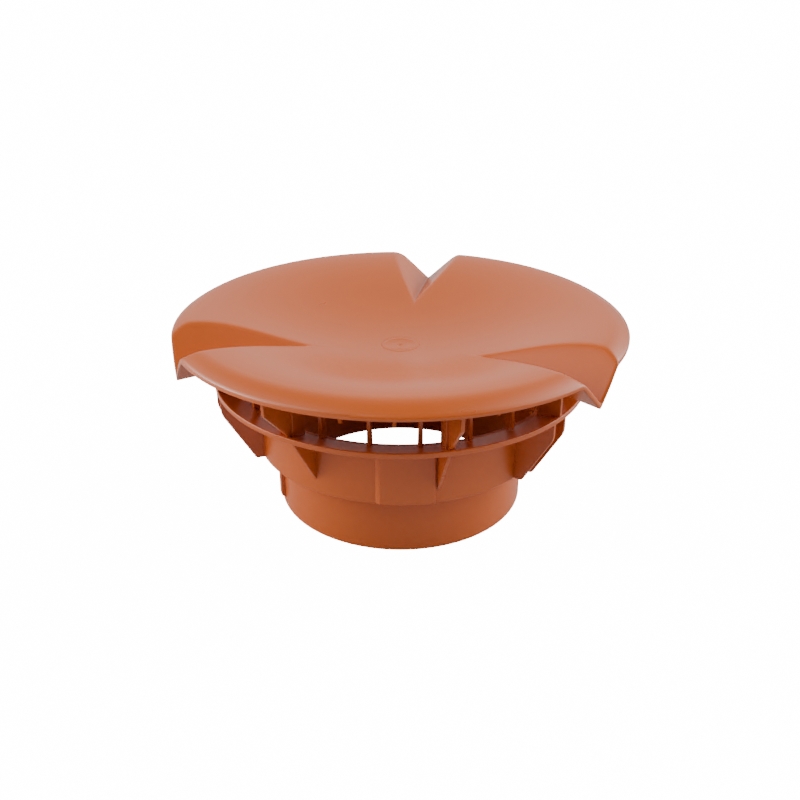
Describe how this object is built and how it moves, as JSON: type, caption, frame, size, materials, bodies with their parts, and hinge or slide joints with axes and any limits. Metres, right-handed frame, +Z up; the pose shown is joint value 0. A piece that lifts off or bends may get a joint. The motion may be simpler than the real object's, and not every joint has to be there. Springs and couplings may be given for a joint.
{
  "type": "roof vent cap",
  "caption": "Rain cap for a roof vent pipe: a stepped spigot with a ring flange and guard bars, under a dished hood with V-shaped gutters.",
  "frame": {"origin": "on the vertical axis, in the plane of the spigot's lower rim", "axes": "+Z up along the pipe's axis, out through the hood; +Y along the gutter at the back; -Y through the middle of the front petal"},
  "size_m": [0.2186, 0.2188, 0.0974],
  "materials": {
    "terracotta_plastic": "smooth satin moulding"
  },
  "bodies": {
    "root": {"vent_base": "terracotta_plastic", "rain_hood": "terracotta_plastic"}
  },
  "joints": []
}
